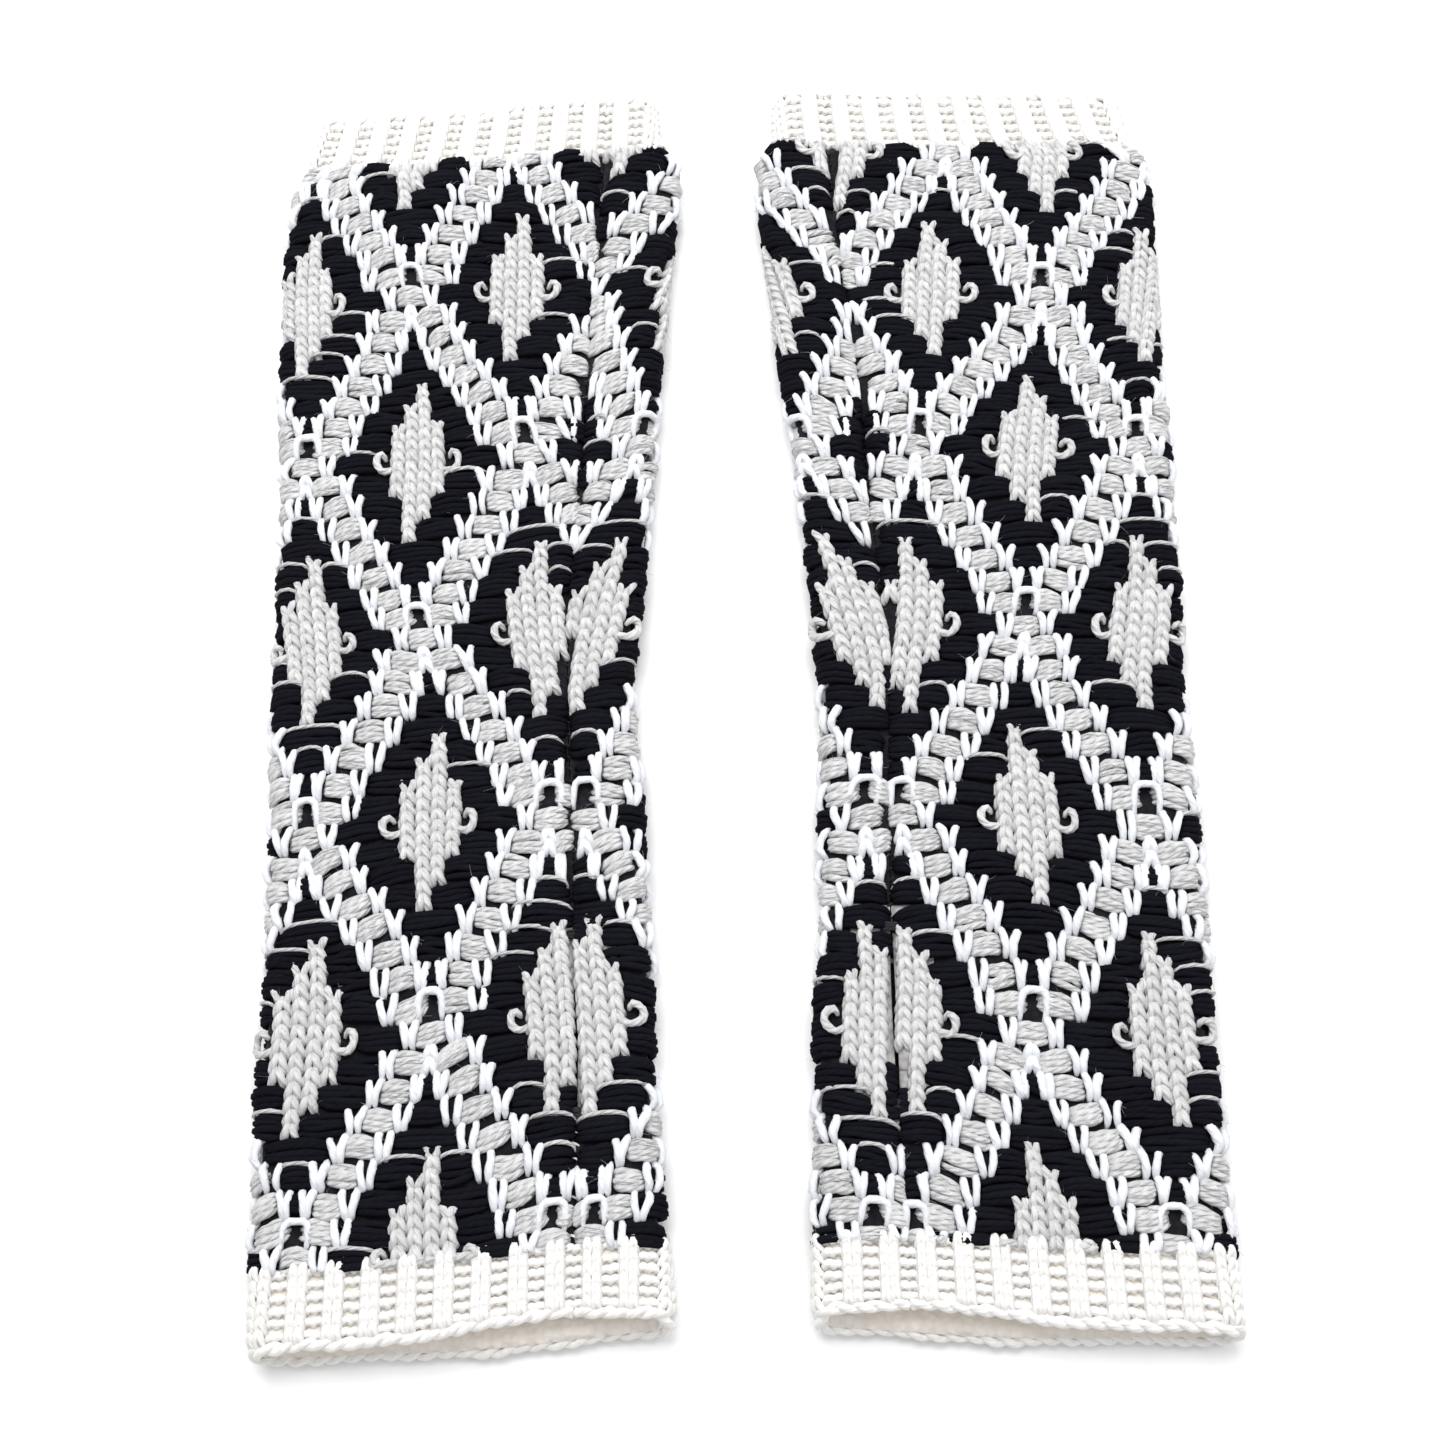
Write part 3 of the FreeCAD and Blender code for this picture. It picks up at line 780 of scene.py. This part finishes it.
def knit_pattern(glove, materials):
    """The patterned tube: the stitches and floats of each yarn, their fuzz and shiny threads, and the lips
    with the back of their knitting.
    """
    table = chart(glove)
    rng = glove.rng
    hooks, loops, arches, prongs = (table[kind] for kind in ("hook", "loop", "arch", "prong"))
    low, high = loops[loops[:, 3] < 0], loops[loops[:, 3] > 0]
    strands = table["strand"]
    middle, reach = (strands[:, 0] + strands[:, 1]) / 2, (strands[:, 1] - strands[:, 0]) / 1.1
    flip = rng.choice([-1.0, 1.0], len(strands))
    groups = [  # name, yarn, depth of the plies, sides of a tube, paths with their radii
        ("black_floats", BLACK, 0.05, 6, [float_paths(glove, table["black"], 0.98, 1.52, 1.75)]),
        ("grey_floats", GREY, 0.10, 6, [float_paths(glove, table["grey"], 0.97, 1.40, 1.5)]),
        ("grey_stitches", GREY, 0.12, 7, [stitch_paths(glove, table["stitch"])]),
        ("grey_hooks", GREY, 0.12, 7, [
            shape_paths(glove, HOOK_SHAPE, hooks[:, 0], hooks[:, 1], 12, 1.05, flip=hooks[:, 2]),
            leg_paths(glove, PRONG_LEG, prongs[:, 0], prongs[:, 1], 7, 1.0),
            shape_paths(glove, STRAND_SHAPE, middle, strands[:, 2], 11, 0.5, reach, flip)]),
        ("white_lower", WHITE, 0.08, 7, [
            leg_paths(glove, LOWER_LEG, low[:, 0], low[:, 1], 8, WHITE_RADIUS, low[:, 2])]),
        ("white_upper", WHITE, 0.08, 7, [
            leg_paths(glove, UPPER_LEG, high[:, 0], high[:, 1], 8, WHITE_RADIUS, high[:, 2])]),
        ("white_arches", WHITE, 0.08, 7, [
            shape_paths(glove, ARCH_SHAPE, arches[:, 0], arches[:, 1], 13, 1.0),
            stitch_paths(glove, table["tuft"])]),
    ]
    lips = [Pieces() for _ in lip_zones(glove)]
    made = []
    fuzz = {slot: Pieces() for slot in (BLACK, GREY, WHITE)}
    shine = Pieces()
    for label, slot, depth, sides, parts in groups:
        main = Pieces()
        for path, radius in parts:
            zone = zone_of(glove, path)
            tone = rng.uniform(0, 1, len(path))
            points, normals = glove.knit(path[..., 0], path[..., 1], path[..., 2])
            points = points + rng.normal(0, UNEVEN_PATH, points.shape)
            radius = radius * rng.normal(1, UNEVEN_RADIUS, radius.shape)
            for number in range(len(lips) + 1):
                pick = zone == number
                if pick.any():
                    target = main if number == 0 else lips[number - 1]
                    add_tubes(target, points[pick], normals[pick], radius[pick], tone[pick],
                              sides=sides, ply_depth=depth, slot=0 if number == 0 else slot)
            calm = zone == 0
            add_fuzz(fuzz[slot], rng, points[calm], normals[calm], radius[calm], FUZZ_SHARE[slot])
            if label == "grey_floats":
                add_shine(shine, rng, points[calm], normals[calm], radius[calm])
        made.append(main.make(f"{glove.name}_{label}", [materials[slot]]))
    for (slot, pieces), colour in zip(fuzz.items(), ("black", "grey", "white")):
        made.append(pieces.make(f"{glove.name}_{colour}_fuzz", [materials[slot]]))
    made.append(shine.make(f"{glove.name}_shiny_threads", [materials[SHINE]]))
    for (first, last, side), pieces in zip(lip_zones(glove), lips):
        lip_slab(pieces, glove, first, last, side, LIP_GROUND)
    return made, lips


def rib_cuff(glove, first, last, pitch=8.6, row=2.95):
    """Two by two rib between two places: raised knit wales and sunk purl wales."""
    rng = glove.rng
    pieces = Pieces()
    half_way = float(glove.lengths((first + last) / 2)[3])
    ribs = int(round(2 * half_way / pitch))
    rows = max(2, int(round((last - first) / row)))
    height = (last - first) / rows
    places = [last - (r + 0.5) * height for r in range(rows)]
    t = np.linspace(0, 1, 7)
    legs, radii, bumps, bump_radii = [], [], [], []
    for rib in range(ribs):
        share = (rib + 0.5) / ribs
        for wale in (-0.125, 0.125):
            for v in places:
                for side in (-1, 1):
                    a = share + (wale + side * (0.012 + 0.085 * t)) / ribs
                    b = v + height * (0.70 - 1.4 * t)
                    off = 1.35 + 0.6 * np.sin(pi * t ** 0.8) - 1.0 * t ** 3
                    legs.append(np.stack([a, b, off], -1))
                    radii.append(0.80 + 0.20 * np.sin(pi * t) ** 0.6)
        for wale in (0.375, 0.625):
            for v in places:
                a = share + (wale + 0.15 * (2 * t - 1)) / ribs
                b = v + 0.7 * np.sin(pi * t) - 0.4
                off = -0.3 + 1.0 * np.sin(pi * t) ** 0.7
                bumps.append(np.stack([a, b, off], -1))
                bump_radii.append(0.9 + 0 * t)
    for paths, radius, size in ((legs, radii, 0.84), (bumps, bump_radii, 1.12)):
        paths, radius = np.array(paths), np.array(radius) * size
        n = len(paths)
        a = paths[..., 0] + rng.normal(0, 0.0002, (n, 1))
        b = paths[..., 1] + rng.normal(0, 0.12, (n, 1))
        half = glove.lengths(b)[3]
        s = a * 2 * half
        d = np.where(s > half, s - 2 * half, s)
        points, normals = glove.surface(d, b, paths[..., 2] + rng.normal(0, 0.06, (n, 1)))
        tone = rng.uniform(0, 1, n)
        add_tubes(pieces, points, normals, radius * rng.normal(1, 0.04, (n, 1)), tone)
    return pieces


def mouth_edge(glove, place, size=0.98, twist=8.6, samples=340):
    """The edge of a cuff: two strands twisted round each other, all round the mouth."""
    pieces = Pieces()
    half_way = float(glove.lengths(place)[3])
    s = np.linspace(0.4, 2 * half_way - 0.4, samples)
    d = np.where(s > half_way, s - 2 * half_way, s)
    turns = max(1, round(2 * half_way / twist))
    paths, normals = [], []
    for strand in range(2):
        phase = 2 * pi * turns * s / (2 * half_way) + pi * strand
        uneven = 0.25 * np.sin(s / 3.1 + strand) + 0.2 * np.sin(s / 7.7)
        points, normal = glove.surface(d, place + 0.65 * np.cos(phase) + uneven, 0.5 + 0.6 * np.sin(phase))
        paths.append(points)
        normals.append(normal)
    wobble = np.stack([smooth(row, 2) for row in glove.rng.normal(1, 0.05, (2, samples))])
    add_tubes(pieces, np.array(paths), np.array(normals), size * wobble,
              glove.rng.uniform(0, 1, 2), sides=10, ply_depth=0.08)
    return pieces


def cross_stitches(glove, places, uneven, half_length, slant, base, rise, power, radius, samples):
    """Short stitches of sewing thread over the seam, one at each place along the glove."""
    pieces = Pieces()
    rng = glove.rng
    t = np.linspace(0, 1, samples)
    paths, normals = [], []
    for place in places:
        along = place + (t - 0.5) * slant + rng.normal(0, uneven)
        off = base + rise * np.sin(pi * t) ** power
        points, normal = glove.surface((2 * t - 1) * half_length, along, off)
        paths.append(points)
        normals.append(normal)
    count = len(paths)
    add_tubes(pieces, np.array(paths), np.array(normals), np.full((count, samples), radius),
              rng.uniform(0, 1, count), turn=2.0)
    return pieces


def seam_stitches(glove, first, last, step=3.2):
    """The sewing thread: short slanted stitches across the seam, drawn down into it."""
    places = np.arange(first + 1.0, last - 1.0, step)
    return cross_stitches(glove, places, uneven=0.15, half_length=1.5, slant=1.6, base=-0.7, rise=0.9,
                          power=1.0, radius=0.3, samples=6)


def slit_tack(glove, place, step=0.75):
    """Close stitches across one end of the slit."""
    places = (place - step, place, place + step)
    return cross_stitches(glove, places, uneven=0.1, half_length=2.4, slant=0.0, base=-0.2, rise=2.2,
                          power=0.6, radius=0.45, samples=8)


# ---- putting a glove together
def across_wrist(piece):
    """The piece spans the wrist: its placement is baked into its mesh."""
    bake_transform(piece)


def bend_lip(glove, piece):
    """Part of a thumb lip: its placement is baked into its mesh."""
    middle = (glove.slit[0] + glove.slit[1]) / 2
    seam = float(glove.at(glove.seam, middle))
    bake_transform(piece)


def make_glove(name, materials):
    glove = Glove(name)
    hand, forearm = f"{name}_hand", f"{name}_forearm"
    yarns, lips = knit_pattern(glove, materials)
    zones = lip_zones(glove)
    low, high = zones[0][0], zones[2][1]

    ground = Pieces()
    ground_slab(ground, glove, glove.body[0], low, glove.edge_gap)
    ground_slab(ground, glove, low, high, lambda v: LIP_REACH + 0 * v)
    ground_slab(ground, glove, high, glove.body[1], glove.edge_gap)
    ground = ground.make(f"{name}_knit_ground", [materials[GROUND]])
    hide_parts(f"{name}_hand_tube", f"{name}_wrist_band", f"{name}_forearm_tube")
    for piece in (ground, *yarns):
        across_wrist(piece)

    labels = ("low", "middle", "high")
    for number, pieces in enumerate(lips):
        side = "outer" if zones[number][2] > 0 else "inner"
        piece = pieces.make(f"{name}_thumb_lip_{side}_{labels[number % 3]}", materials)
        bend_lip(glove, piece)
        if number % 3 == 1:
            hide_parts(f"{name}_thumb_lip_{side}")

    cuffs = (
        ("hand_cuff", hand, "hand_edge", 1.2, (2.2, glove.body[0] + 0.6)),
        ("arm_cuff", forearm, "arm_edge", glove.length - 1.2, (glove.body[1] - 0.6, glove.length - 2.2)),
    )
    for label, body, edge, place, (first, last) in cuffs:
        back = Pieces()
        ground_slab(back, glove, min(first, place), max(last, place), glove.edge_gap, high=-0.1)
        # the cuff's back takes the beige rib material: painted shade in the rib's gaps and inside the mouth
        back = back.make(f"{name}_{label}_back", [materials[SHADED_CREAM_GROUND]])
        rib = rib_cuff(glove, first, last).make(f"{name}_{label}_rib", [materials[CREAM]])
        rope = mouth_edge(glove, place).make(f"{name}_{edge}_rope", [materials[CREAM]])
        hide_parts(f"{name}_{label}")
        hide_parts(f"{name}_{edge}")
        for piece in (back, rib, rope):
            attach(piece, body)

    closed = seam_stitches(glove, glove.slit[1] + 3, glove.length - 1)
    closed = closed.make(f"{name}_long_seam_thread", [materials[THREAD]])
    across_wrist(closed)
    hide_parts(f"{name}_hand_seam", f"{name}_wrist_seam", f"{name}_forearm_seam")
    short = seam_stitches(glove, 1.0, glove.slit[0] - 2)
    short = short.make(f"{name}_cuff_seam_thread", [materials[CREAM]])
    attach(short, hand)
    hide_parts(f"{name}_cuff_seam")
    for end, place in (("hand", glove.slit[0] - 1.2), ("wrist", glove.slit[1] + 1.2)):
        tack = slit_tack(glove, place).make(f"{name}_slit_tack_{end}_thread", [materials[THREAD]])
        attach(tack, hand)
        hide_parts(f"{name}_slit_tack_{end}")


# ---- the room
def make_floor():
    mesh = bpy.data.meshes.new("floor")
    size = 3.0
    corners = [(-size, -size, 0), (size, -size, 0), (size, size, 0), (-size, size, 0)]
    mesh.from_pydata(corners, [], [(0, 1, 2, 3)])
    floor = bpy.data.objects.new("floor", mesh)
    bpy.context.scene.collection.objects.link(floor)
    floor.location.z = -0.0004
    paint = Shading("pale_floor", {"Base Color": (0.97, 0.97, 0.975, 1), "Roughness": 0.9})
    mesh.materials.append(paint.material)


def make_light():
    world = bpy.data.worlds.new("studio")
    bpy.context.scene.world = world
    world.use_nodes = True
    background = world.node_tree.nodes["Background"]
    background.inputs["Color"].default_value = (1.0, 1.0, 1.0, 1)
    background.inputs["Strength"].default_value = 0.60
    for name, energy, size, place in (
        ("main_light", 12.5, 0.9, (-0.15, 0.5, 1.05)),
        ("fill_light", 3.5, 1.0, (0.6, 0.1, 1.0)),
    ):
        light = bpy.data.lights.new(name, "AREA")
        light.energy = energy
        light.size = size
        lamp = bpy.data.objects.new(name, light)
        bpy.context.scene.collection.objects.link(lamp)
        lamp.location = place
        lamp.rotation_euler = (-Vector(place)).to_track_quat("-Z", "Y").to_euler()


def make_camera():
    """A camera above the hand ends, looking down and towards the arm ends."""
    pitch, yaw, roll = radians(67.7), radians(2.6), radians(-4.0)
    forward = Vector((0, cos(pitch), -sin(pitch)))
    up = Vector((0, sin(pitch), cos(pitch)))
    right = Vector((1, 0, 0))
    swing = Matrix.Rotation(yaw, 3, "Z")
    forward, up, right = swing @ forward, swing @ up, swing @ right
    right, up = right * cos(roll) + up * sin(roll), up * cos(roll) - right * sin(roll)
    camera = bpy.data.cameras.new("camera")
    camera.sensor_width = 36.0
    camera.lens = 53.16
    camera.clip_start = 0.01
    holder = bpy.data.objects.new("camera", camera)
    bpy.context.scene.collection.objects.link(holder)
    turn = Matrix((right, up, -forward)).transposed().to_4x4()
    holder.matrix_world = Matrix.Translation((0.0078, -0.2276, 0.5126)) @ turn
    bpy.context.scene.camera = holder


bpy.context.scene.view_settings.view_transform = "Standard"
yarn_materials = make_materials()
for glove_name in SIGNS:
    make_glove(glove_name, yarn_materials)
make_floor()
make_light()
make_camera()
